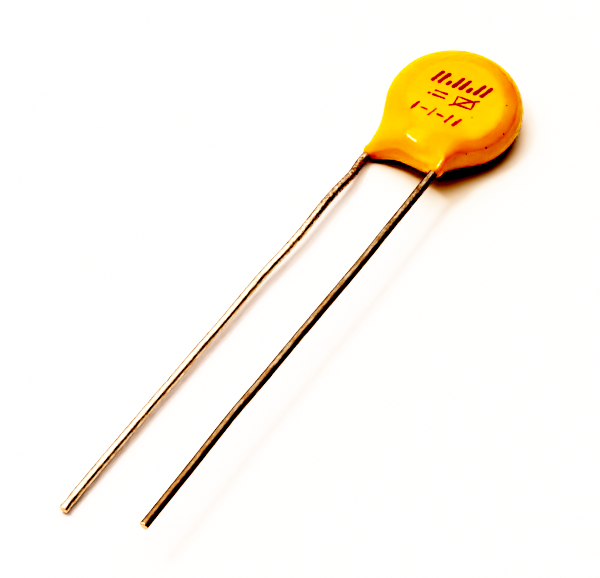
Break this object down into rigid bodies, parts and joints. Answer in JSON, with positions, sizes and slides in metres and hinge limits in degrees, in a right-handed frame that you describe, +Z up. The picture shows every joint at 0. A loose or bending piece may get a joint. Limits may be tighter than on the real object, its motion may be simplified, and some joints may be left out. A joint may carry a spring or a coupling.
{
  "type": "varistor",
  "caption": "Radial-lead disc varistor that clamps voltage surges: a ceramic disc in a dipped yellow epoxy coat, with straight tinned wire leads, lying flat.",
  "frame": {"origin": "middle of the whole part's footprint, on the surface it lies on", "axes": "+Z up from the surface, +Y along the part towards the disc, so the leads run to -Y; +X across, from the lower lead to the upper lead"},
  "size_m": [0.0084, 0.0398, 0.0035],
  "materials": {
    "coat": null,
    "ceramic": "dark grey sintered zinc-oxide ceramic, matt",
    "silver": "fired silver paste, matt pale metal",
    "solder": "solder fillet, smooth, satin",
    "tinned_wire": "hot-dipped tinned copper wire, satin, slightly pitted near the coat, bare copper at the cut ends"
  },
  "bodies": {
    "root": {"coating": "coat", "ceramic_disc": "ceramic", "front_electrode": "silver", "back_electrode": "silver", "front_solder": "solder", "back_solder": "solder", "front_lead": "tinned_wire", "back_lead": "tinned_wire"}
  },
  "joints": []
}
